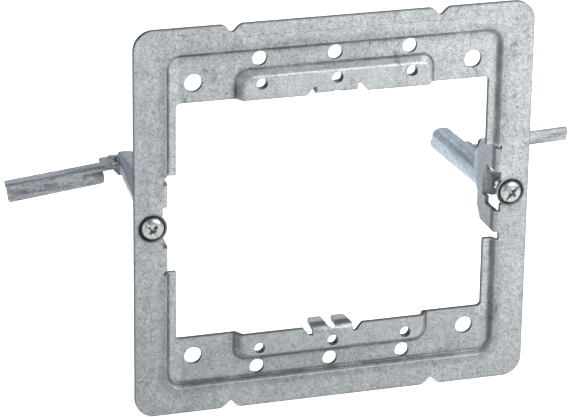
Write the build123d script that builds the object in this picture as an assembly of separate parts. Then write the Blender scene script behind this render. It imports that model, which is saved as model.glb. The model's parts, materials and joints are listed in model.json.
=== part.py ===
from build123d import *
from math import cos, radians, sin
import os

# Old-work mounting ring for two wiring devices, in millimetres.
# X runs to the right, Y runs back into the wall and Z runs up.
# The origin is the centre of the opening, in the plane that the device straps rest on.

# Sheet
sheet = 1.4
leg_bend = 1.6
tab_bend = 1.9
channel_bend = 3.0
guide_bend = 2.1

# Outer border
ring_width = 122.6
ring_height = 120.3
ring_corner = 6.0
pads_proud = 0.8
notch_spacing = 63.6
notch_width = 4.4
notch_depth = 2.2
notch_flare = 1.0

# Dished inner flange
dish_width = 103.2
dish_height = 104.4
dish_corner = 4.5
dish_depth = 2.0
dish_run = 0.8
press_round = 0.55

# Opening
opening_width = 96.4
opening_height = 73.8
opening_corner = 1.2

# Raised device pads
pad_width = 60.6
pad_reach = 8.6
pad_corner = 3.6
pad_run = 1.6

# Holes
device_pitch = 23.02
device_span = 83.34
device_hole = 3.4
collar_length = 1.2
collar_wall = 0.55
clear_hole_span = 97.2
clear_hole = 4.5
corner_pitch_x = 85.9
corner_pitch_z = 85.6
corner_hole = 5.4

# Small bent-back tabs at the middle of each pad
tab_pair_width = 12.6
tab_slot = 3.0
tab_length = 8.2
tab_taper = 0.5
tab_relief = 2.4
tab_relief_width = 3.0

# Side legs: the flat strap plate
leg_setback = 2.7
leg_length = 53.7
strap_top = 14.1
strap_bottom = 12.7
strap_taper = 0.4
plate_depth = 14.2
plate_shoulder = 9.8
shoulder_drop = 1.8
relief_top = 1.2
relief_bottom = 2.3
lean_right = 1.7
lean_left = 5.0
leg_pitch = 1.2

# Side legs: the rounded U-channel
channel_offset = -0.05
channel_height = 7.8
channel_start = 16.0
long_wall = 7.3
long_wall_rear = 6.4
short_wall = 5.2
short_wall_cut = 0.9
wall_corner = 1.9

# Window and guide tab lanced out of each leg
window_top = 6.8
window_bottom = 5.9
window_depth = 8.2
window_reach = 2.5
guide_height = 7.2
guide_length = 8.4
guide_clearance = 0.3
guide_run = 0.6

# Screws
screw_offset = 4.8
screw_diameter = 3.45
screw_length = 57.15
head_diameter = 6.9
head_height = 2.3
head_round = 1.3
recess_span = 3.6
recess_width = 0.85
recess_depth = 1.3
slot_width = 0.75
slot_depth = 0.7
recess_turn_right = 45
recess_turn_left = -45
bearing_clearance = 0.08
seat_room = 0.15
dimple_depth = 1.0
dimple_run = 0.5
seat_gap = 0.02

# Swing arms
arm_sheet = 1.45
arm_bend = 1.8
ear_height = 3.9
ear_inboard = 2.6
ear_corner = 0.8
ear_top = 2.1
neck_drop = 1.95
neck_depth = 7.8
step_out = 6.7
blade_length = 30.0
blade_depth = 4.2
flange_root = 4.75
flange_tip = 5.05
flange_open = 16.0
root_corner = 1.4
tip_corner = 0.5
blade_cant = 4.6
arm_play = 3.3
thread_clearance = 0.05
park_right = 41.8
park_left = 48.5

# Places worked out from the driving dimensions
border_front = pads_proud
border_back = border_front + sheet
flange_front = border_front + dish_depth
flange_back = flange_front + sheet
opening_top = opening_height / 2
screw_z = channel_offset
leg_face = opening_width / 2 + leg_setback
dimple_diameter = head_diameter + 2 * seat_room + 2 * dimple_run
over = 5.0


def plate_plane(y):
    # A drawing plane parallel to the wall: local X is right, local Y is up, and it faces the room.
    return Plane(origin=(0, y, 0), x_dir=(1, 0, 0), z_dir=(0, -1, 0))


def rounded_slab(width, height, corner, front, back):
    with BuildPart() as slab:
        with BuildSketch(plate_plane(back)):
            RectangleRounded(width, height, corner)
        extrude(amount=back - front)
    return slab.part


def rounded_taper(width_front, height_front, width_back, height_back, corner, front, back):
    # A pressed form: one rounded rectangle blended into another, with straight sloping sides.
    with BuildPart() as form:
        with BuildSketch(plate_plane(back)):
            RectangleRounded(width_back, height_back, corner)
        with BuildSketch(plate_plane(front)):
            RectangleRounded(width_front, height_front, corner)
        loft()
    return form.part


def hole(x, z, diameter, front, back):
    with BuildPart() as drill:
        with BuildSketch(plate_plane(back)):
            with Locations((x, z)):
                Circle(diameter / 2)
        extrude(amount=back - front)
    return drill.part


def half_turn(shape):
    # The second copy of every handed feature: half a turn about the front-to-back axis.
    return shape.rotate(Axis.Y, 180)


def mirror_up(shape):
    return shape.mirror(Plane.XY)


def edge_notch():
    # Flared half-round notch in the outer edge of the border.
    half = notch_width / 2
    with BuildPart() as notch:
        with BuildSketch(plate_plane(border_back + over)):
            with BuildLine():
                Line((-half - notch_flare, over), (-half - notch_flare, 0))
                Spline(
                    (-half - notch_flare, 0),
                    (0, -notch_depth),
                    (half + notch_flare, 0),
                    tangents=[(1, -0.25), (1, 0), (1, 0.25)],
                )
                Line((half + notch_flare, 0), (half + notch_flare, over))
                Line((half + notch_flare, over), (-half - notch_flare, over))
            make_face()
        extrude(amount=sheet + 2 * over)
    return notch.part


def rim_edges(shape, y, low, high):
    # The closed run of edges that lies in one plane across Y, between two half widths.
    flat = shape.edges().filter_by(lambda e: abs(e.bounding_box().min.Y - y) + abs(e.bounding_box().max.Y - y) < 0.01)
    return flat.filter_by(lambda e: low < max(abs(e.center().X), abs(e.center().Z)) < high)


def dished_plate():
    # The flat border with its inner flange pressed back, all of it one sheet with rounded steps.
    back_width = dish_width - 2 * dish_run
    back_height = dish_height - 2 * dish_run
    plate = rounded_slab(ring_width, ring_height, ring_corner, border_front, border_back)
    plate += rounded_taper(
        dish_width + sheet, dish_height + sheet, back_width + sheet, back_height + sheet,
        dish_corner + sheet / 2, border_front + sheet / 2, flange_back,
    )
    plate -= rounded_taper(
        dish_width, dish_height, back_width, back_height, dish_corner, border_front, flange_front
    )
    reach = dish_width / 2
    inner = reach - dish_run - over
    plate = plate.fillet(press_round, rim_edges(plate, border_front, inner, dish_height / 2 + 0.1))
    plate = plate.fillet(press_round, rim_edges(plate, flange_front, inner, dish_height / 2))
    plate = plate.fillet(press_round + sheet / 2, rim_edges(plate, flange_back, inner, dish_height / 2 + sheet))
    return plate


def pad_forms():
    # The raised pad: the front form that is added and the hollow that the press leaves behind it.
    rise = flange_front
    half_height = opening_top + pad_reach
    front = rounded_taper(
        pad_width - 2 * pad_run, 2 * half_height - 2 * pad_run, pad_width, 2 * half_height, pad_corner, 0, rise
    )
    front = front.fillet(press_round + sheet / 2, rim_edges(front, 0, 0, half_height))
    hollow = rounded_taper(
        pad_width - 2 * pad_run - sheet,
        2 * half_height - 2 * pad_run - sheet,
        pad_width - sheet,
        2 * half_height - sheet,
        pad_corner - sheet / 2,
        sheet,
        rise + sheet,
    )
    return front, hollow


def device_tabs():
    # Two small ears folded straight back from the middle of the pad's edge, drawn for the lower pad.
    half = tab_pair_width / 2
    edge = -opening_top
    fold = edge - tab_bend
    inside = tab_bend - sheet
    with BuildPart() as ears:
        with BuildSketch(Plane.YZ.offset(-half)):
            with BuildLine():
                Polyline((sheet, fold), (sheet, fold - tab_relief), (0, fold - tab_relief), (0, fold))
                RadiusArc((0, fold), (tab_bend, edge), tab_bend)
                Polyline((tab_bend, edge), (tab_length, edge), (tab_length, edge - sheet), (tab_bend, edge - sheet))
                RadiusArc((tab_bend, edge - sheet), (sheet, fold), -inside)
            make_face()
        extrude(amount=tab_pair_width)
        # The slot between the ears and the slight taper of their outer sides.
        with BuildSketch(Plane.XY.offset(edge + over)):
            with Locations((0, tab_bend + tab_length)):
                Rectangle(tab_slot, 2 * tab_length)
            for side in (-1, 1):
                with BuildLine():
                    Polyline(
                        (side * half, tab_bend),
                        (side * (half - tab_taper), tab_length),
                        (side * (half + over), tab_length),
                        (side * (half + over), tab_bend),
                        close=True,
                    )
                make_face()
        extrude(amount=-2 * over, mode=Mode.SUBTRACT)
        ends = ears.part.edges().filter_by(Axis.Z).group_by(Axis.Y)[-1]
        fillet(ends, radius=0.8)
        with BuildSketch(Plane.XY.offset(edge + over)):
            with Locations((0, tab_bend)):
                Circle(tab_slot / 2)
        extrude(amount=-over - sheet, mode=Mode.SUBTRACT)
    return ears.part


def tab_cut():
    # What the blank loses round the folded ears: the strip they are folded from, and a relief each side.
    half = tab_pair_width / 2
    top = -opening_top + over
    fold = -opening_top - tab_bend
    low = -opening_top - tab_relief
    with BuildPart() as cut:
        with BuildSketch(plate_plane(over)):
            with BuildLine():
                Polyline((-half, fold), (half, fold), (half, top), (-half, top), close=True)
            make_face()
            for side in (-1, 1):
                with BuildLine():
                    Polyline(
                        (side * half, top),
                        (side * half, low),
                        (side * (half + 0.35 * tab_relief_width), low),
                        (side * (half + tab_relief_width), -opening_top),
                        (side * (half + tab_relief_width), top),
                        close=True,
                    )
                make_face()
        extrude(amount=2 * over)
    return cut.part


def leg_plane(lean):
    # Drawing plane on the leg's inner face: local X runs back, local Y up, and it faces outward.
    angle = radians(lean)
    centre_x = leg_face + leg_bend
    centre_y = border_front + leg_bend
    origin = (centre_x - leg_bend * cos(angle), centre_y - leg_bend * sin(angle), 0)
    return Plane(origin=origin, x_dir=(-sin(angle), cos(angle), 0), z_dir=(cos(angle), sin(angle), 0))


def plate_start(lean):
    # How far behind the border's front the flat of the leg begins.
    return leg_bend * (1 - sin(radians(lean)))


def leg_fold(lean):
    # The fold from the border into the leg, drawn in plan and as tall as the straps.
    centre = Vector(leg_face + leg_bend, border_front + leg_bend)
    turn = radians(90 - lean)
    inside = leg_bend - sheet

    def rim(radius, share):
        return centre - Vector(sin(turn * share), cos(turn * share)) * radius

    with BuildPart() as fold:
        with BuildSketch(Plane.XY.offset(-strap_bottom)):
            with BuildLine():
                ThreePointArc(rim(leg_bend, 0), rim(leg_bend, 0.5), rim(leg_bend, 1))
                Line(rim(leg_bend, 1), rim(inside, 1))
                ThreePointArc(rim(inside, 1), rim(inside, 0.5), rim(inside, 0))
                Line(rim(inside, 0), rim(leg_bend, 0))
            make_face()
        extrude(amount=strap_bottom + strap_top)
    return fold.part


def leg_axis(lean):
    # The line of the screw: level with the middle of the channel, and as far out as the guide hole.
    plane = leg_plane(lean)
    pivot = plane.from_local_coords((window_depth, screw_z, screw_offset))
    run = plane.x_dir.rotate(Axis((0, 0, 0), plane.z_dir), -leg_pitch)
    return Axis(pivot, run)


def along(lean, depth):
    # The point of the screw's line that lies this far behind the border's front face.
    axis = leg_axis(lean)
    step = (border_front + depth - axis.position.Y) / axis.direction.Y
    return axis.position + axis.direction * step


def cross_plane(lean, depth):
    # Plane square to the screw's line: local X runs outward, local Y up, facing the room.
    return Plane(origin=along(lean, depth), x_dir=leg_plane(lean).z_dir, z_dir=-leg_axis(lean).direction)


def plan_plane(lean):
    # Plane through the screw's line: local X runs back from the border, local Y outward, facing down.
    across = cross_plane(lean, 0)
    return Plane(origin=across.origin, x_dir=-across.z_dir, z_dir=-across.y_dir)


def leg_plate(lean):
    # Flat strap plate, which narrows a little to the rear and is cut off in slanting shoulders.
    start = plate_start(lean)
    rear = plate_depth - start
    shoulder = plate_shoulder - start
    channel_top = channel_offset + channel_height / 2
    channel_low = channel_offset - channel_height / 2
    with BuildPart() as plate:
        with BuildSketch(leg_plane(lean)):
            with BuildLine():
                Polyline(
                    (0, -strap_bottom),
                    (shoulder + shoulder_drop, -strap_bottom + strap_taper),
                    (rear, -strap_bottom + 2.4 * shoulder_drop),
                    (rear, channel_low),
                    (rear + channel_bend, channel_low + channel_bend),
                    (rear + channel_bend, channel_top + channel_bend),
                    (shoulder + 2 * shoulder_drop, strap_top - strap_taper - shoulder_drop),
                    (shoulder, strap_top - strap_taper),
                    (0, strap_top),
                    close=True,
                )
            outline = make_face()
            fillet(outline.vertices().filter_by(lambda v: leg_plane(lean).to_local_coords(v.center()).X > 1), 1.0)
        extrude(amount=sheet)
    return plate.part


def leg_channel(lean):
    # Rounded U-channel that runs on from the plate, one wall longer than the other.
    low = -channel_height / 2
    high = channel_height / 2
    floor = -screw_offset
    long_edge = floor + long_wall
    short_edge = floor + short_wall
    inside = channel_bend - sheet
    with BuildPart() as channel:
        with BuildSketch(cross_plane(lean, leg_length)):
            with BuildLine():
                Polyline((long_edge, low + sheet), (long_edge, low), (floor + channel_bend, low))
                RadiusArc((floor + channel_bend, low), (floor, low + channel_bend), channel_bend)
                Line((floor, low + channel_bend), (floor, high - channel_bend))
                RadiusArc((floor, high - channel_bend), (floor + channel_bend, high), channel_bend)
                Polyline(
                    (floor + channel_bend, high),
                    (short_edge, high),
                    (short_edge, high - sheet),
                    (floor + channel_bend, high - sheet),
                )
                RadiusArc(
                    (floor + channel_bend, high - sheet), (floor + sheet, high - channel_bend), -inside
                )
                Line((floor + sheet, high - channel_bend), (floor + sheet, low + channel_bend))
                RadiusArc((floor + sheet, low + channel_bend), (floor + channel_bend, low + sheet), -inside)
                Line((floor + channel_bend, low + sheet), (long_edge, low + sheet))
            make_face()
        extrude(amount=leg_length - plate_depth + 1)
    return channel.part & (wall_outline(lean, True) + wall_outline(lean, False))


def wall_outline(lean, is_long):
    # The plan of one wall: free of the plate at the front, rounded at its rear corner.
    floor = -screw_offset
    reach = long_wall if is_long else short_wall
    reach_rear = long_wall_rear if is_long else short_wall
    end = leg_length if is_long else leg_length - short_wall_cut
    with BuildPart() as plan:
        with BuildSketch(plan_plane(lean)):
            with BuildLine():
                Polyline(
                    (0, floor - 1),
                    (0, floor + sheet),
                    (channel_start, floor + sheet),
                    (channel_start, floor + reach),
                    (end, floor + reach_rear),
                    (end, floor - 1),
                    close=True,
                )
            outline = make_face()
            corners = outline.vertices().sort_by(lambda v: plan_plane(lean).to_local_coords(v.center()).Y)
            fillet(corners[-2:], wall_corner)
        extrude(amount=channel_height if is_long else -channel_height)
    return plan.part


def guide_tab(lean):
    # Tab lanced from the window and folded outward, which steadies the screw.
    plane = leg_plane(lean)
    base = plane.from_local_coords((0, screw_z - guide_height / 2, 0))
    front = window_depth - plate_start(lean)
    rear = front + guide_bend + guide_run
    inside = guide_bend - sheet
    with BuildPart() as tab:
        with BuildSketch(Plane(origin=base, x_dir=plane.x_dir, z_dir=(0, 0, 1))):
            with BuildLine():
                Polyline((rear, -sheet), (rear, 0), (front + guide_bend, 0))
                RadiusArc((front + guide_bend, 0), (front, -guide_bend), guide_bend)
                Polyline(
                    (front, -guide_bend),
                    (front, -guide_length),
                    (front + sheet, -guide_length),
                    (front + sheet, -guide_bend),
                )
                RadiusArc((front + sheet, -guide_bend), (front + guide_bend, -sheet), -inside)
                Line((front + guide_bend, -sheet), (rear, -sheet))
            make_face()
        extrude(amount=guide_height)
    return tab.part


def window_cut(lean):
    # The lanced window: through the plate, round the fold and into the border on both sides of the seat.
    rear = window_depth - plate_start(lean)
    tab_low = screw_z - guide_height / 2
    tab_high = screw_z + guide_height / 2
    seat = cross_plane(lean, 0).origin
    mouth = 0.7 * dimple_diameter / 2
    with BuildPart() as cut:
        with BuildSketch(leg_plane(lean).offset(-over)):
            with BuildLine():
                Polyline(
                    (-over, -window_bottom),
                    (rear, -window_bottom),
                    (rear, tab_low),
                    (rear + guide_bend, tab_low),
                    (rear + guide_bend, tab_high),
                    (rear, tab_high),
                    (rear, window_top),
                    (-over, window_top),
                    close=True,
                )
            make_face()
        extrude(amount=over + leg_bend)
        with BuildSketch(plate_plane(border_front + leg_bend + 0.5)):
            with BuildLine():
                Polyline(
                    (leg_face - over, -window_bottom),
                    (leg_face + 0.4, -window_bottom),
                    (leg_face + window_reach, seat.Z - mouth),
                    (leg_face + window_reach, seat.Z + mouth),
                    (leg_face + 0.4, window_top),
                    (leg_face - over, window_top),
                    close=True,
                )
            make_face()
        extrude(amount=leg_bend + over)
    return cut.part


def dished_disc(lean, front, thickness, rim, floor):
    # A cone-sided disc on the screw's line, drawn from a depth behind the border's front.
    with BuildPart() as disc:
        with BuildSketch(cross_plane(lean, front + thickness)):
            Circle(floor)
        with BuildSketch(cross_plane(lean, front)):
            Circle(rim)
        loft()
    return disc.part


def seat_parts(lean):
    # The round seat that the screw head is sunk into: its metal, and the bowl cut from its front.
    rim = dimple_diameter / 2
    floor = rim - dimple_run
    shell = dished_disc(lean, 0, sheet + dimple_depth, rim + dimple_run, floor + 0.2)
    shell -= rounded_slab(4 * ring_width, 4 * ring_height, ring_corner, -over, border_front)
    bowl = dished_disc(lean, -dimple_depth, 2 * dimple_depth, rim + dimple_run, floor)
    return shell, bowl


def bore(lean, start, stop, diameter):
    # A hole along the screw's line, between two depths behind the border's front.
    with BuildPart() as drill:
        with BuildSketch(cross_plane(lean, stop)):
            Circle(diameter / 2)
        extrude(amount=stop - start)
    return drill.part


def leg_parts(lean):
    solid = leg_fold(lean) + leg_plate(lean) + leg_channel(lean)
    solid -= window_cut(lean)
    solid += guide_tab(lean)
    return solid - bore(lean, window_depth - sheet, window_depth + guide_bend, screw_diameter + 2 * guide_clearance)


def border_relief():
    # The opening's side runs out to the fold between the straps' ends, with a small relief past each.
    height = strap_top + strap_bottom + relief_top + relief_bottom
    middle = (strap_top + relief_top - strap_bottom - relief_bottom) / 2
    with BuildPart() as cut:
        with BuildSketch(plate_plane(flange_back + over)):
            with Locations((leg_face + leg_bend - over, middle)):
                Rectangle(2 * over, height)
        extrude(amount=flange_back + 2 * over)
    return cut.part


def make_ring():
    pad_front, pad_hollow = pad_forms()
    ring = dished_plate() + pad_front - pad_hollow
    ring -= rounded_slab(opening_width, opening_height, opening_corner, -over, flange_back + over)
    for lean, turned in ((lean_right, False), (lean_left, True)):
        shell, bowl = seat_parts(lean)
        shank = bore(lean, -over, over, screw_diameter + 2 * bearing_clearance)
        pieces = [border_relief(), window_cut(lean), leg_parts(lean), shell, bowl, shank]
        if turned:
            pieces = [half_turn(piece) for piece in pieces]
        relief, window, leg, shell, bowl, shank = pieces
        ring = ring - relief - window + leg + shell
        ring = ring - bowl - shank
    for x in (-notch_spacing / 2, notch_spacing / 2):
        notch = edge_notch().moved(Location((x, 0, ring_height / 2)))
        ring = ring - notch - mirror_up(notch)
    ring -= tab_cut() + mirror_up(tab_cut())
    ears = device_tabs()
    ring = ring + ears + mirror_up(ears)
    for x in (-device_pitch, 0, device_pitch):
        for side in (-1, 1):
            z = side * device_span / 2
            ring += hole(x, z, device_hole + 2 * collar_wall, sheet, sheet + collar_length)
            ring -= hole(x, z, device_hole, -over, sheet + collar_length + over)
            ring -= hole(x, side * clear_hole_span / 2, clear_hole, -over, flange_back + over)
    for x in (-corner_pitch_x / 2, corner_pitch_x / 2):
        for z in (-corner_pitch_z / 2, corner_pitch_z / 2):
            ring -= hole(x, z, corner_hole, -over, flange_back + over)
    return ring


def make_screw(lean, recess_turn):
    # Pan-head machine screw with a combination recess, drawn along its own line.
    seat = cross_plane(lean, dimple_depth - seat_gap)
    with BuildPart() as screw:
        with BuildSketch(seat):
            Circle(screw_diameter / 2)
        extrude(amount=-screw_length)
        chamfer(screw.edges().sort_by(leg_axis(lean))[-1], length=0.5)
        with BuildSketch(seat):
            Circle(head_diameter / 2)
        extrude(amount=head_height)
        fillet(screw.edges().sort_by(leg_axis(lean))[0], radius=head_round)
        with BuildSketch(seat.offset(head_height - recess_depth)):
            Rectangle(recess_width, recess_span, rotation=recess_turn)
            Rectangle(recess_span, recess_width, rotation=recess_turn)
        extrude(amount=over, mode=Mode.SUBTRACT)
        with BuildSketch(seat.offset(head_height - slot_depth)):
            Rectangle(head_diameter + over, slot_width, rotation=recess_turn)
        extrude(amount=over, mode=Mode.SUBTRACT)
    return screw.part


def blade_outline():
    # Side view of the blade: a plate that points back and a flange that leans forward, with its bend.
    low = -neck_drop
    angle = radians(flange_open)
    slope = Vector(-sin(angle), cos(angle))
    back = Vector(cos(angle), sin(angle)) * arm_sheet
    outer = Vector(0, low)
    free = outer + slope * (flange_tip / cos(angle))
    inner = outer + back + slope * (arm_sheet * (1 - sin(angle)) / cos(angle))
    with BuildSketch() as outline:
        with BuildLine():
            Polyline(
                outer, free, free + back, inner,
                (blade_depth, low + arm_sheet), (blade_depth, low), close=True,
            )
        make_face()
        corners = outline.vertices()
        fillet(corners.sort_by_distance(outer)[0], arm_bend)
        fillet(outline.vertices().sort_by_distance(inner)[0], arm_bend - arm_sheet)
    return outline.sketch


def make_arm(lean, play, park):
    # Stamped clamp: two ears on the screw, a neck between them, and an L-section blade set at a cant.
    across = cross_plane(lean, park)
    hub = Plane(across.location * Rot(0, 0, play))
    canted = Plane(across.location * Rot(0, 0, play + blade_cant))
    side = Plane(origin=canted.origin, x_dir=-canted.z_dir, z_dir=canted.x_dir)
    reach = step_out + blade_length
    inner = long_wall - screw_offset
    half = ear_height / 2
    with BuildPart() as body:
        for depth in (0, neck_depth - arm_sheet):
            with BuildSketch(hub.offset(-depth)) as ear:
                with BuildLine():
                    Polyline(
                        (-ear_inboard, -half), (inner + arm_sheet, -half), (inner + arm_sheet, arm_sheet - half),
                        (ear_top, half), (-ear_inboard, half), close=True,
                    )
                make_face()
                fillet(ear.vertices().group_by(Axis.X)[0], ear_corner)
            extrude(amount=-arm_sheet)
        with BuildSketch(canted):
            with Locations(((step_out + inner) / 2, -neck_drop + arm_sheet / 2)):
                Rectangle(step_out - inner, arm_sheet)
        extrude(amount=-neck_depth)
    with BuildPart() as blade:
        with BuildSketch(side.offset(step_out)):
            add(blade_outline())
        extrude(amount=blade_length)
        # The flange is a little lower at its root, and both its free corners are rounded.
        root = (step_out, flange_root - neck_drop)
        tip = (reach, flange_tip - neck_drop)
        with BuildSketch(canted.offset(over)) as trim:
            with BuildLine():
                Polyline(
                    (step_out - over, over), (step_out - over, -over), (step_out, -over), root,
                    tip, (reach, -over), (reach + over, -over), (reach + over, over), close=True,
                )
            make_face()
            fillet(trim.vertices().sort_by_distance(root)[0], root_corner)
            fillet(trim.vertices().sort_by_distance(tip)[0], tip_corner)
        extrude(amount=-over - arm_bend, mode=Mode.SUBTRACT)
    thread = bore(lean, park - 1, park + neck_depth + 1, screw_diameter + 2 * thread_clearance)
    return body.part + blade.part - thread


os.makedirs("parts", exist_ok=True)
export_step(make_ring(), "parts/ring.step")
export_step(make_screw(lean_right, recess_turn_right), "parts/screw_right.step")
export_step(half_turn(make_screw(lean_left, recess_turn_left)), "parts/screw_left.step")
export_step(make_arm(lean_right, -arm_play, park_right), "parts/arm_right.step")
export_step(half_turn(make_arm(lean_left, arm_play, park_left)), "parts/arm_left.step")
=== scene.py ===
import bpy
import bmesh
import json
from math import pi
from mathutils import Matrix, Vector


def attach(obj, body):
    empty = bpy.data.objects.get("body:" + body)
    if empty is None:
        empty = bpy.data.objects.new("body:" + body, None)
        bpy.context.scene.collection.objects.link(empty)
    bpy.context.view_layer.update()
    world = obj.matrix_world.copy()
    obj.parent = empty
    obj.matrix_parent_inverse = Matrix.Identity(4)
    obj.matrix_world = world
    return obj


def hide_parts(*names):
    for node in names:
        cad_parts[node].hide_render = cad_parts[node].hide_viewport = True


MM = 0.001

# The ring as its solids have it, in millimetres: width, height and corner radius of each outline.
RIM = (122.6, 120.3, 6.0)
DISH = (103.2, 104.4, 4.5)
PAD = (60.6, 91.0, 3.6)
OPENING = (96.4, 73.8, 1.2)
FRONT_Y = 0.8 * MM
FLOOR_Z = -60.4 * MM

# Screws: 6-32 machine screws, 2 1/4 inches long, with pan heads, a slot and a cross.
PITCH = 25.4 / 32 * MM
SHAFT = 57.15 * MM
SEAT_Y = 1.78 * MM
HEAD_RADIUS = 3.45 * MM
HEAD_HEIGHT = 2.3 * MM
DOME = 1.8 * MM
DOME_STEPS = 10
HEAD_EDGE = 0.15 * MM
HEAD_SIDES = 72
HEAD_SMOOTH = 0.7
SLOT_LENGTH = 12 * MM
SLOT_WIDTH = 0.95 * MM
SLOT_DEPTH = 0.75 * MM
CROSS_LENGTH = 3.7 * MM
CROSS_WIDTH = 1.25 * MM
CROSS_DEPTH = 1.7 * MM
CROSS_TAPER = 0.5
CUTTER_HEIGHT = 2.2 * MM
BURR = 0.07 * MM
BURR_ANGLE = 0.6
SKIN = 0.1 * MM
CREST = 1.72 * MM
ROOT = 1.36 * MM
# One turn of the thread: share of the pitch, and radius there.
THREAD_FORM = ((0.0, ROOT), (0.14, ROOT), (0.46, CREST), (0.60, CREST), (1.0, ROOT))
THREAD_STEPS = 28
THREAD_SMOOTH = 0.9
SPARE_TURNS = 2
TIP_TAPER = 0.72
SCREW_TURNS = {"right": pi / 4, "left": -pi / 4}

# Sheet edges, rounded on the ring and the arms.
EDGE_RADIUS = 0.16 * MM
EDGE_ANGLE = 0.7

# Points closer than WELD are merged, HAIR is a tolerance, and RELIEF is the depth of the coat's bumps.
WELD = 0.001 * MM
HAIR = 0.01 * MM
RELIEF = 0.06 * MM

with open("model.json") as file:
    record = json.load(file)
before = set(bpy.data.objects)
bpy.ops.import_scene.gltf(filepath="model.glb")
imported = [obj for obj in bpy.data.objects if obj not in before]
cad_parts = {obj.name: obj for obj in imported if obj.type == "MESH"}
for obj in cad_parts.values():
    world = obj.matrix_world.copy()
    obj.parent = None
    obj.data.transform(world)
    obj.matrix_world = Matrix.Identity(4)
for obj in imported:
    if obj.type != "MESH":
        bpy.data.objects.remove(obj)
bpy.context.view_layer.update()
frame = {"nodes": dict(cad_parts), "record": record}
joints = {joint["name"]: joint for joint in frame["record"]["behaviour"]["joints"]}
scene = bpy.context.scene


# Shader helpers

def mm(*lengths):
    return tuple(length * MM for length in lengths)


def node(tree, kind, **settings):
    made = tree.nodes.new(kind)
    for name, value in settings.items():
        setattr(made, name, value)
    return made


def join(tree, source, target):
    tree.links.new(source, target)


def math_node(tree, operation, *values):
    # Each value is a number or another node's output.
    made = node(tree, "ShaderNodeMath", operation=operation)
    for slot, value in enumerate(values):
        if isinstance(value, (int, float)):
            made.inputs[slot].default_value = value
        else:
            join(tree, value, made.inputs[slot])
    return made.outputs[0]


def product(tree, *masks):
    whole = masks[0]
    for mask in masks[1:]:
        whole = math_node(tree, "MULTIPLY", whole, mask)
    return whole


def magnitude(tree, value):
    return math_node(tree, "ABSOLUTE", value)


def remap(tree, value, spread, result):
    # Eases from the first result to the second while the value crosses the spread.
    made = node(tree, "ShaderNodeMapRange", interpolation_type="SMOOTHSTEP")
    join(tree, value, made.inputs["Value"])
    for name, number in zip(("From Min", "From Max", "To Min", "To Max"), (*spread, *result)):
        made.inputs[name].default_value = number
    return made.outputs["Result"]


def split(tree, vector):
    made = node(tree, "ShaderNodeSeparateXYZ")
    join(tree, vector, made.inputs[0])
    return made.outputs


def stretched(tree, vector, scale, turn=(0, 0, 0)):
    made = node(tree, "ShaderNodeMapping")
    join(tree, vector, made.inputs["Vector"])
    made.inputs["Scale"].default_value = scale
    made.inputs["Rotation"].default_value = turn
    return made.outputs["Vector"]


def noise(tree, vector, scale, detail=3.0, rough=0.55, distortion=0.0):
    made = node(tree, "ShaderNodeTexNoise")
    join(tree, vector, made.inputs["Vector"])
    made.inputs["Scale"].default_value = scale
    made.inputs["Detail"].default_value = detail
    made.inputs["Roughness"].default_value = rough
    made.inputs["Distortion"].default_value = distortion
    return made.outputs["Fac"]


def crystals(tree, vector, scale):
    # A random number for each cell of the coating's grain.
    cells = node(tree, "ShaderNodeTexVoronoi", feature="F1")
    join(tree, vector, cells.inputs["Vector"])
    cells.inputs["Scale"].default_value = scale
    shade = node(tree, "ShaderNodeSeparateColor")
    join(tree, cells.outputs["Color"], shade.inputs["Color"])
    return shade.outputs["Red"]


def shaded(tree, colour, factor):
    made = node(tree, "ShaderNodeVectorMath", operation="SCALE")
    join(tree, colour, made.inputs[0])
    join(tree, factor, made.inputs["Scale"])
    return made.outputs[0]


def darkened(tree, colour, masks):
    keep = 1.0
    for mask in masks:
        keep = math_node(tree, "MULTIPLY", math_node(tree, "SUBTRACT", 1.0, mask), keep)
    return shaded(tree, colour, keep)


def tinted(tree, colour, mask, tint):
    # The colour times the tint where the mask is 1, and unchanged where it is 0.
    part = node(tree, "ShaderNodeVectorMath", operation="SCALE")
    part.inputs[0].default_value = tuple(value - 1 for value in tint)
    join(tree, mask, part.inputs["Scale"])
    whole = node(tree, "ShaderNodeVectorMath", operation="ADD")
    join(tree, part.outputs[0], whole.inputs[0])
    whole.inputs[1].default_value = (1, 1, 1)
    made = node(tree, "ShaderNodeVectorMath", operation="MULTIPLY")
    join(tree, colour, made.inputs[0])
    join(tree, whole.outputs[0], made.inputs[1])
    return made.outputs[0]


def new_group(name, takes, gives):
    tree = bpy.data.node_groups.new(name, "ShaderNodeTree")
    for in_out, sockets in (("INPUT", takes), ("OUTPUT", gives)):
        for socket, kind in sockets.items():
            tree.interface.new_socket(socket, in_out=in_out, socket_type=f"NodeSocket{kind}")
    return tree, node(tree, "NodeGroupInput").outputs, node(tree, "NodeGroupOutput").inputs


# Shared effects

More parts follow.
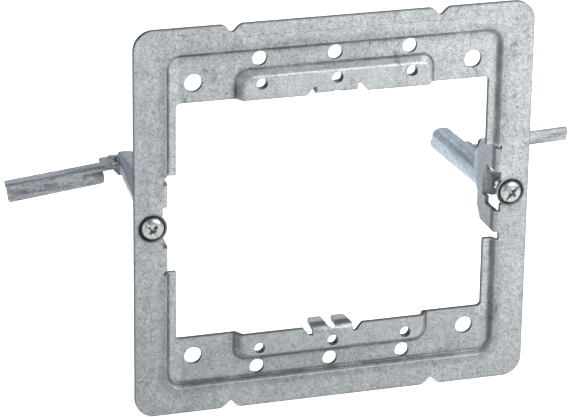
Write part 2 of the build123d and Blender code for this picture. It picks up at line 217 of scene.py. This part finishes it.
def zinc_coat():
    # Galvanised sheet: soft clouds, fine crystals, grain, specks, rolling streaks and dark scuffs.
    tree, takes, gives = new_group(
        "zinc coat",
        {"Vector": "Vector", "Tone": "Color", "Scuff": "Float"},
        {"Color": "Color", "Roughness": "Float", "Height": "Float"},
    )
    vector = takes["Vector"]
    clouds = noise(tree, vector, scale=55, detail=4, rough=0.6, distortion=0.4)
    blotch = noise(tree, vector, scale=260, detail=4, rough=0.65)
    grain = noise(tree, vector, scale=1900, detail=3, rough=0.75)
    speck = noise(tree, vector, scale=2050, detail=3, rough=0.6)
    streak = noise(tree, stretched(tree, vector, (1, 1, 0.12)), scale=700, detail=3, rough=0.6)
    slanted = stretched(tree, vector, (1, 1, 0.55), (0, 0.5, 0))
    scuff = noise(tree, slanted, scale=170, detail=6, rough=0.75, distortion=0.8)
    marks = product(tree, remap(tree, scuff, (0.56, 0.72), (0, 0.45)), takes["Scuff"])
    value = product(
        tree,
        remap(tree, clouds, (0.35, 0.65), (0.93, 1.05)),
        remap(tree, blotch, (0.3, 0.7), (0.93, 1.06)),
        remap(tree, grain, (0.33, 0.67), (0.77, 1.18)),
        remap(tree, speck, (0.34, 0.43), (0.45, 1.0)),
        remap(tree, crystals(tree, vector, scale=900), (0, 1), (0.92, 1.08)),
        remap(tree, streak, (0.3, 0.7), (0.95, 1.04)),
        math_node(tree, "SUBTRACT", 1.0, marks),
    )
    join(tree, shaded(tree, takes["Tone"], value), gives["Color"])
    worn = math_node(tree, "MULTIPLY", marks, 0.3)
    rough = math_node(tree, "ADD", remap(tree, blotch, (0.3, 0.7), (0.48, 0.60)), worn)
    join(tree, rough, gives["Roughness"])
    join(tree, math_node(tree, "ADD", math_node(tree, "MULTIPLY", grain, 0.5), blotch), gives["Height"])
    return tree


def outline_distance():
    # How far a point lies outside a rounded rectangle drawn on the ring's front.
    tree, takes, gives = new_group(
        "distance from outline",
        {"Vector": "Vector", "Half Width": "Float", "Half Height": "Float", "Corner": "Float"},
        {"Distance": "Float"},
    )
    place = split(tree, takes["Vector"])
    beyond = []
    for axis, half in (("X", "Half Width"), ("Z", "Half Height")):
        straight = math_node(tree, "SUBTRACT", takes[half], takes["Corner"])
        beyond.append(math_node(tree, "SUBTRACT", magnitude(tree, place[axis]), straight))
    squares = [math_node(tree, "POWER", math_node(tree, "MAXIMUM", part, 0.0), 2.0) for part in beyond]
    outside = math_node(tree, "SQRT", math_node(tree, "ADD", *squares))
    inside = math_node(tree, "MINIMUM", math_node(tree, "MAXIMUM", *beyond), 0.0)
    total = math_node(tree, "ADD", outside, inside)
    join(tree, math_node(tree, "SUBTRACT", total, takes["Corner"]), gives["Distance"])
    return tree


ZINC = zinc_coat()
OUTLINE = outline_distance()


def metal(name, tone, scuff, metallic, bump=0.25, paint=None, shine=None):
    # A coated steel; paint may darken or tint it by place, shine sets one roughness instead.
    material = bpy.data.materials.new(name)
    material.use_nodes = True
    tree = material.node_tree
    shader = tree.nodes["Principled BSDF"]
    place = node(tree, "ShaderNodeTexCoord").outputs
    coat = node(tree, "ShaderNodeGroup", node_tree=ZINC)
    join(tree, place["Object"], coat.inputs["Vector"])
    coat.inputs["Tone"].default_value = (*tone, 1)
    coat.inputs["Scuff"].default_value = scuff
    colour = coat.outputs["Color"]
    if paint:
        colour = paint(tree, place, colour)
    join(tree, colour, shader.inputs["Base Color"])
    if shine is None:
        join(tree, coat.outputs["Roughness"], shader.inputs["Roughness"])
    else:
        shader.inputs["Roughness"].default_value = shine
    shader.inputs["Metallic"].default_value = metallic
    relief = node(tree, "ShaderNodeBump")
    relief.inputs["Strength"].default_value = bump
    relief.inputs["Distance"].default_value = RELIEF
    join(tree, coat.outputs["Height"], relief.inputs["Height"])
    join(tree, relief.outputs["Normal"], shader.inputs["Normal"])
    return material


# Wear, painted shade and painted light on the ring

# Painted crease shade, straight lines on the front: from and to in X, from and to in Z, in millimetres, and
# strength.
CREASE_SHADE_LINES = (
    ((-57.3, -57.0), (4.7, 16.0), 0.34),
    ((-58.3, -58.1), (-38, -24), 0.22),
    ((54.5, 61.0), (5.7, 5.95), 0.28),
    ((55.0, 61.0), (-7.8, -7.55), 0.26),
    ((-44, 49), (56.2, 56.4), 0.34),
    ((-30, 20), (-53.8, -53.6), 0.2),
)
FLANGE_TINT = (1.20, 1.20, 1.18)
# Which way each leg lies in X, and the tint of its channel: a painted bluish reflection.
CHANNEL_REFLECTIONS = ((1, (1.60, 1.67, 1.82)), (-1, (1.02, 1.04, 1.11)))
# Painted light falloff: how bright the ring is painted at the low and the high end in each direction.
LIGHT_FALLOFF = (("Z", (0.84, 1.02)), ("X", (0.93, 1.06)))


def outline(tree, place, size):
    made = node(tree, "ShaderNodeGroup", node_tree=OUTLINE)
    join(tree, place["Object"], made.inputs["Vector"])
    width, height, corner = size
    made.inputs["Half Width"].default_value = width / 2 * MM
    made.inputs["Half Height"].default_value = height / 2 * MM
    made.inputs["Corner"].default_value = corner * MM
    return made.outputs["Distance"]


def band(tree, distance, middle, reach, strength):
    # A soft line that runs beside an outline; its middle and reach are in millimetres.
    off = magnitude(tree, math_node(tree, "SUBTRACT", distance, middle * MM))
    return remap(tree, off, mm(0.15 * reach, reach), (strength, 0))


def sheared_edges(tree, place):
    # Cut edges are darker than the coated faces.
    side = remap(tree, magnitude(tree, split(tree, place["Normal"])["Y"]), (0.1, 0.45), (1, 0))
    tooth = noise(tree, stretched(tree, place["Object"], (1, 3, 1)), scale=2600, detail=2)
    return product(tree, side, remap(tree, tooth, (0.3, 0.7), (0.5, 0.8)))


def pressed_step_shade(tree, place, where, dish):
    # Painted shade at the foot and on the slope of the dish and of the pads: fainter on the right, none
    # where the legs stand.
    wander = remap(tree, noise(tree, place["Object"], scale=120, detail=3), (0.35, 0.6), (0.55, 1))
    off_leg = remap(tree, magnitude(tree, where["Z"]), mm(15.0, 16.2), (0, 1))
    fainter = remap(tree, where["X"], mm(20, 50), (1, 0.55))
    pad = outline(tree, place, PAD)
    steps = (
        product(tree, band(tree, dish, middle=-0.9, reach=0.75, strength=0.72), off_leg, fainter),
        product(tree, band(tree, dish, middle=0.3, reach=2.8, strength=0.26), off_leg),
        band(tree, pad, middle=0.15, reach=0.65, strength=0.62),
        band(tree, pad, middle=-0.4, reach=1.9, strength=0.2),
    )
    return [product(tree, step, wander) for step in steps]


def seat_shadow(tree, place, side):
    # Painted shade in the round seat, just outside the screw's head.
    joint = joints[f"screw_{side}_turn"]
    pivot, axis = Vector(joint["pos_m"]), Vector(joint["axis"]).normalized()
    centre = pivot + axis * ((FRONT_Y - pivot.y) / axis.y)
    flat = node(tree, "ShaderNodeVectorMath", operation="MULTIPLY")
    join(tree, place["Object"], flat.inputs[0])
    flat.inputs[1].default_value = (1, 0, 1)
    reach = node(tree, "ShaderNodeVectorMath", operation="DISTANCE")
    join(tree, flat.outputs[0], reach.inputs[0])
    reach.inputs[1].default_value = (centre.x, 0, centre.z)
    return remap(tree, reach.outputs["Value"], mm(3.9, 5.0), (0.62, 0))


def crease_shade_lines(tree, place, where):
    # Painted shade along creases in both side rails, and broken lines of crease shade along the top and
    # bottom.
    rough = noise(tree, place["Object"], scale=900, detail=3, rough=0.7)
    broken = remap(tree, rough, (0.42, 0.55), (0.1, 1))
    marks = []
    for across, upward, strength in CREASE_SHADE_LINES:
        mark = broken
        for axis, (low, high) in (("X", across), ("Z", upward)):
            middle, half = (low + high) / 2, (high - low) / 2
            off = magnitude(tree, math_node(tree, "SUBTRACT", where[axis], middle * MM))
            mark = product(tree, mark, remap(tree, off, mm(half * 0.6, half + 0.12), (1, 0)))
        marks.append(math_node(tree, "MULTIPLY", mark, strength))
    return marks


def guide_tab_shadow(tree, where):
    # Painted shadow on the lanced tab that the screw runs through.
    outward = remap(tree, magnitude(tree, where["X"]), mm(51.6, 52.2), (0, 1))
    behind = remap(tree, where["Y"], mm(6.0, 7.0), (0, 1))
    return math_node(tree, "MULTIPLY", product(tree, outward, behind), 0.36)


def ring_wear_and_painted_light(tree, place, colour):
    where = split(tree, place["Object"])
    front = remap(tree, where["Y"], mm(4.0, 4.6), (1, 0))
    dish = outline(tree, place, DISH)
    on_front = [
        sheared_edges(tree, place),
        *pressed_step_shade(tree, place, where, dish),
        *(seat_shadow(tree, place, side) for side in ("right", "left")),
        *crease_shade_lines(tree, place, where),
        band(tree, outline(tree, place, OPENING), middle=0, reach=0.45, strength=0.35),
    ]
    masks = [product(tree, mask, front) for mask in on_front]
    masks.append(guide_tab_shadow(tree, where))
    masks.append(band(tree, outline(tree, place, RIM), middle=0, reach=0.5, strength=0.35))

    # Rolling streaks along the channels of the legs.
    channel = remap(tree, where["Y"], mm(15.0, 16.5), (0, 1))
    lengthwise = noise(tree, stretched(tree, place["Object"], (1, 0.05, 1)), scale=800, detail=3, rough=0.65)
    masks.append(product(tree, remap(tree, lengthwise, (0.42, 0.62), (0, 0.22)), channel))

    # The dished flange beside the opening is brighter than the border; the channels are painted brighter and
    # bluer, as a painted reflection of bluish light.
    beside = remap(tree, magnitude(tree, where["X"]), mm(45.5, 48.5), (0, 1))
    flange = product(tree, beside, remap(tree, dish, mm(-1.6, -0.6), (1, 0)))
    colour = tinted(tree, colour, flange, FLANGE_TINT)
    for way, tint in CHANNEL_REFLECTIONS:
        one_side = remap(tree, math_node(tree, "MULTIPLY", where["X"], way), mm(0, 10), (0, 1))
        colour = tinted(tree, colour, product(tree, channel, one_side), tint)

    # Painted light falloff: the ring is painted a little darker towards the lower left.
    for axis, falloff in LIGHT_FALLOFF:
        colour = shaded(tree, colour, remap(tree, where[axis], mm(-60, 60), falloff))
    return darkened(tree, colour, masks)


def arm_wear(tree, place, colour):
    # Dark drawing streaks along the blade, and darker sheared ends.
    facing = magnitude(tree, split(tree, place["Normal"])["X"])
    fine = noise(
        tree, stretched(tree, place["Object"], (0.06, 1, 1)), scale=760, detail=4, rough=0.7, distortion=0.3
    )
    broad = noise(tree, stretched(tree, place["Object"], (0.04, 0.6, 1)), scale=320, detail=2)
    return darkened(tree, colour, [
        remap(tree, facing, (0.80, 0.97), (0, 0.6)),
        remap(tree, fine, (0.45, 0.62), (0, 0.46)),
        remap(tree, broad, (0.47, 0.60), (0, 0.30)),
    ])


RING = metal("ring zinc", (0.312, 0.327, 0.327), scuff=1.0, metallic=0.55, paint=ring_wear_and_painted_light)
ARM = metal("arm zinc", (0.414, 0.427, 0.432), scuff=0.7, metallic=0.6, paint=arm_wear)
SCREW = metal("screw zinc", (0.38, 0.39, 0.38), scuff=0.3, metallic=1.0, bump=0.15, shine=0.4)
# Near-black painted shade for the cross and the slot.
RECESS_SHADE = metal("screw recess shade", (0.025, 0.025, 0.025), scuff=0.3, metallic=0.0, bump=0.1, shine=0.8)
THREAD = metal("thread zinc", (0.52, 0.53, 0.52), scuff=0.2, metallic=1.0, bump=0.1, shine=0.3)


# Modelling helpers

def alone(shape):
    # Only this piece is selected and active.
    bpy.ops.object.select_all(action="DESELECT")
    shape.select_set(True)
    bpy.context.view_layer.objects.active = shape


def edit(shape, action):
    # Edit mode, with everything selected or nothing.
    alone(shape)
    bpy.ops.object.mode_set(mode="EDIT")
    bpy.ops.mesh.select_all(action=action)


def pick(shape, kind, test):
    # Edit mode, with only the faces, edges or points that pass the test selected.
    edit(shape, "DESELECT")
    bpy.ops.mesh.select_mode(type=kind)
    mesh = bmesh.from_edit_mesh(shape.data)
    for part in {"VERT": mesh.verts, "EDGE": mesh.edges, "FACE": mesh.faces}[kind]:
        part.select_set(test(part))
    bmesh.update_edit_mesh(shape.data)


def done():
    bpy.ops.object.mode_set(mode="OBJECT")


def settle(shape):
    # The piece's place goes into its mesh, so its object stands at the origin.
    alone(shape)
    bpy.ops.object.transform_apply(location=True, rotation=True, scale=True)


def smooth(shape, angle):
    alone(shape)
    bpy.ops.object.shade_smooth_by_angle(angle=angle)


def apply_modifier(shape, kind, **settings):
    made = shape.modifiers.new(kind.lower(), kind)
    for name, value in settings.items():
        setattr(made, name, value)
    alone(shape)
    bpy.ops.object.modifier_apply(modifier=made.name)


def carve(shape, length, width, depth, taper=1.0):
    # Cuts a straight pocket into the head's top, its floor drawn in by the taper.
    low = HEAD_HEIGHT - depth
    bpy.ops.mesh.primitive_cube_add(size=1, location=(0, 0, low + CUTTER_HEIGHT / 2))
    cutter = bpy.context.object
    cutter.scale = (length, width, CUTTER_HEIGHT)
    settle(cutter)
    pick(cutter, "FACE", lambda face: face.normal.z < -0.9)
    bpy.ops.transform.resize(value=(taper, taper, 1))
    done()
    apply_modifier(shape, "BOOLEAN", operation="DIFFERENCE", solver="EXACT", object=cutter)
    bpy.data.objects.remove(cutter)


# Screws

def mark_recess_shade(head):
    # The floors and walls of the cross and the slot take the second material, a near-black painted shade.
    for face in head.data.polygons:
        radius = face.center.xy.length
        over_edge = max(radius - (HEAD_RADIUS - DOME), 0)
        surface = HEAD_HEIGHT - DOME + (DOME ** 2 - over_edge ** 2) ** 0.5
        sunk = 2 * HEAD_EDGE < face.center.z < surface - SKIN
        face.material_index = int(sunk and radius < HEAD_RADIUS - SKIN)


def screw_head(name, turn):
    # A pan head on the plane Z = 0, which looks along local Z to the room.
    bpy.ops.mesh.primitive_cylinder_add(
        vertices=HEAD_SIDES, radius=HEAD_RADIUS, depth=HEAD_HEIGHT, location=(0, 0, HEAD_HEIGHT / 2)
    )
    head = bpy.context.object
    head.name = name
    settle(head)
    pick(head, "EDGE", lambda edge: min(v.co.z for v in edge.verts) > 0.9 * HEAD_HEIGHT)
    bpy.ops.mesh.bevel(offset=DOME, segments=DOME_STEPS, profile=0.5, affect="EDGES")
    done()
    pick(head, "EDGE", lambda edge: max(v.co.z for v in edge.verts) < HAIR)
    bpy.ops.mesh.bevel(offset=HEAD_EDGE, segments=2, affect="EDGES")
    done()
    carve(head, SLOT_LENGTH, SLOT_WIDTH, SLOT_DEPTH)
    carve(head, CROSS_LENGTH, CROSS_WIDTH, CROSS_DEPTH, CROSS_TAPER)
    carve(head, CROSS_WIDTH, CROSS_LENGTH, CROSS_DEPTH, CROSS_TAPER)
    mark_recess_shade(head)
    head.rotation_euler = (0, 0, turn)
    settle(head)
    apply_modifier(head, "BEVEL", width=BURR, segments=2, limit_method="ANGLE", angle_limit=BURR_ANGLE)
    smooth(head, HEAD_SMOOTH)
    return head


def screw_thread(name):
    # The thread's form is wound past both ends of the shank, cut to length and drawn in at the tip.
    bpy.ops.mesh.primitive_circle_add(vertices=len(THREAD_FORM), fill_type="NOTHING")
    thread = bpy.context.object
    thread.name = name
    ends = {0, len(THREAD_FORM) - 1}
    pick(thread, "EDGE", lambda edge: {v.index for v in edge.verts} == ends)
    bpy.ops.mesh.delete(type="EDGE")
    done()
    for point, (share, radius) in zip(thread.data.vertices, THREAD_FORM):
        point.co = (radius, 0, -(SHAFT + SPARE_TURNS * PITCH) + share * PITCH)
    apply_modifier(
        thread, "SCREW", axis="Z", angle=2 * pi, screw_offset=PITCH,
        iterations=int(SHAFT / PITCH) + 2 * SPARE_TURNS, steps=THREAD_STEPS, render_steps=THREAD_STEPS,
        use_merge_vertices=True, merge_threshold=WELD,
    )
    for height, above in ((SKIN, True), (-SHAFT, False)):
        edit(thread, "SELECT")
        bpy.ops.mesh.bisect(
            plane_co=(0, 0, height), plane_no=(0, 0, 1), use_fill=True,
            clear_outer=above, clear_inner=not above,
        )
        done()
    pick(thread, "VERT", lambda vert: vert.co.z < -SHAFT + HAIR)
    bpy.ops.transform.resize(value=(TIP_TAPER, TIP_TAPER, 1))
    bpy.ops.mesh.select_all(action="SELECT")
    bpy.ops.mesh.normals_make_consistent(inside=False)
    done()
    smooth(thread, THREAD_SMOOTH)
    return thread


def place_screw(side, turn):
    # Head and thread stand on the line that the screw's joint turns about.
    joint = joints[f"screw_{side}_turn"]
    axis = Vector(joint["axis"]).normalized()
    pivot = Vector(joint["pos_m"])
    seat = pivot + axis * ((SEAT_Y - pivot.y) / axis.y)
    out = -axis
    across = Vector((1, 0, 0))
    across = (across - out * across.dot(out)).normalized()
    stand = Matrix((across, out.cross(across), out)).transposed().to_4x4()
    stand.translation = seat
    head = screw_head(f"screw_head_{side}", turn)
    thread = screw_thread(f"screw_thread_{side}")
    for piece, materials in ((head, (SCREW, RECESS_SHADE)), (thread, (THREAD,))):
        piece.matrix_world = stand
        settle(piece)
        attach(piece, f"screw_{side}")
        piece.data.materials.clear()
        for material in materials:
            piece.data.materials.append(material)
    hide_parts(f"screw_{side}")


# Ring and arms

def dress_sheet(shape, coat):
    shape.data.materials.clear()
    shape.data.materials.append(coat)
    weld = shape.modifiers.new("weld", "WELD")
    weld.merge_threshold = WELD
    soften = shape.modifiers.new("soft edges", "BEVEL")
    soften.width = EDGE_RADIUS
    soften.segments = 2
    soften.angle_limit = EDGE_ANGLE


for name, coat in (("ring", RING), ("arm_left", ARM), ("arm_right", ARM)):
    dress_sheet(frame["nodes"][name], coat)
for side, turn in SCREW_TURNS.items():
    place_screw(side, turn)


# Floor, light and camera

def studio_floor():
    # Pale and matt; it glows a little to the camera and in reflections, so that it reads as white.
    bpy.ops.mesh.primitive_plane_add(size=14, location=(0, 2, FLOOR_Z))
    floor = bpy.context.object
    floor.name = "floor"
    material = bpy.data.materials.new("floor")
    material.use_nodes = True
    tree = material.node_tree
    shader = tree.nodes["Principled BSDF"]
    shader.inputs["Base Color"].default_value = (0.93, 0.93, 0.93, 1)
    shader.inputs["Roughness"].default_value = 0.9
    shader.inputs["Specular IOR Level"].default_value = 0.2
    shader.inputs["Emission Color"].default_value = (1, 1, 1, 1)
    path = node(tree, "ShaderNodeLightPath").outputs
    seen = math_node(tree, "MULTIPLY", path["Is Camera Ray"], 0.62)
    mirrored = math_node(tree, "MULTIPLY", path["Is Glossy Ray"], 0.42)
    join(tree, math_node(tree, "MAXIMUM", seen, mirrored), shader.inputs["Emission Strength"])
    floor.data.materials.append(material)


def studio_sky():
    world = bpy.data.worlds.new("studio")
    scene.world = world
    world.use_nodes = True
    sky = world.node_tree.nodes["Background"]
    sky.inputs["Color"].default_value = (0.84, 0.90, 1.0, 1)
    sky.inputs["Strength"].default_value = 0.38


def area_light(name, place, target, size, power, colour=(1, 1, 1)):
    lamp = bpy.data.lights.new(name, "AREA")
    lamp.shape = "RECTANGLE"
    lamp.size, lamp.size_y = size
    lamp.energy = power
    lamp.color = colour
    made = bpy.data.objects.new(name, lamp)
    made.location = place
    made.rotation_euler = (Vector(target) - Vector(place)).to_track_quat("-Z", "Y").to_euler()
    scene.collection.objects.link(made)


def photograph_camera():
    # Solved from the holes and straight edges that the photograph shows.
    lens = bpy.data.cameras.new("camera")
    lens.sensor_width = 36
    lens.lens = 195.85
    lens.clip_start = 0.01
    lens.clip_end = 40
    camera = bpy.data.objects.new("camera", lens)
    scene.collection.objects.link(camera)
    right = Vector((0.95495, -0.29654, 0.01165))
    down = Vector((-0.09578, -0.34512, -0.93366))
    forward = Vector((0.28088, 0.89048, -0.35798))
    pose = Matrix((right, -down, -forward)).transposed().to_4x4()
    pose.translation = (-0.27185, -0.81157, 0.32865)
    camera.matrix_world = pose
    scene.camera = camera


studio_floor()
studio_sky()
area_light("key", (0.34, -0.31, 0.42), target=(0.03, 0, 0.01), size=(0.42, 0.42), power=7.4)
area_light(
    "left fill", (-1.2, -0.22, 0.28), target=(0, 0, 0), size=(0.9, 0.9), power=7, colour=(0.70, 0.81, 1.0)
)
area_light("back", (0.6, 1.4, 1.2), target=(0, 0, 0), size=(1.2, 1.0), power=9, colour=(0.8, 0.88, 1.0))
photograph_camera()

scene.view_settings.view_transform = "Standard"
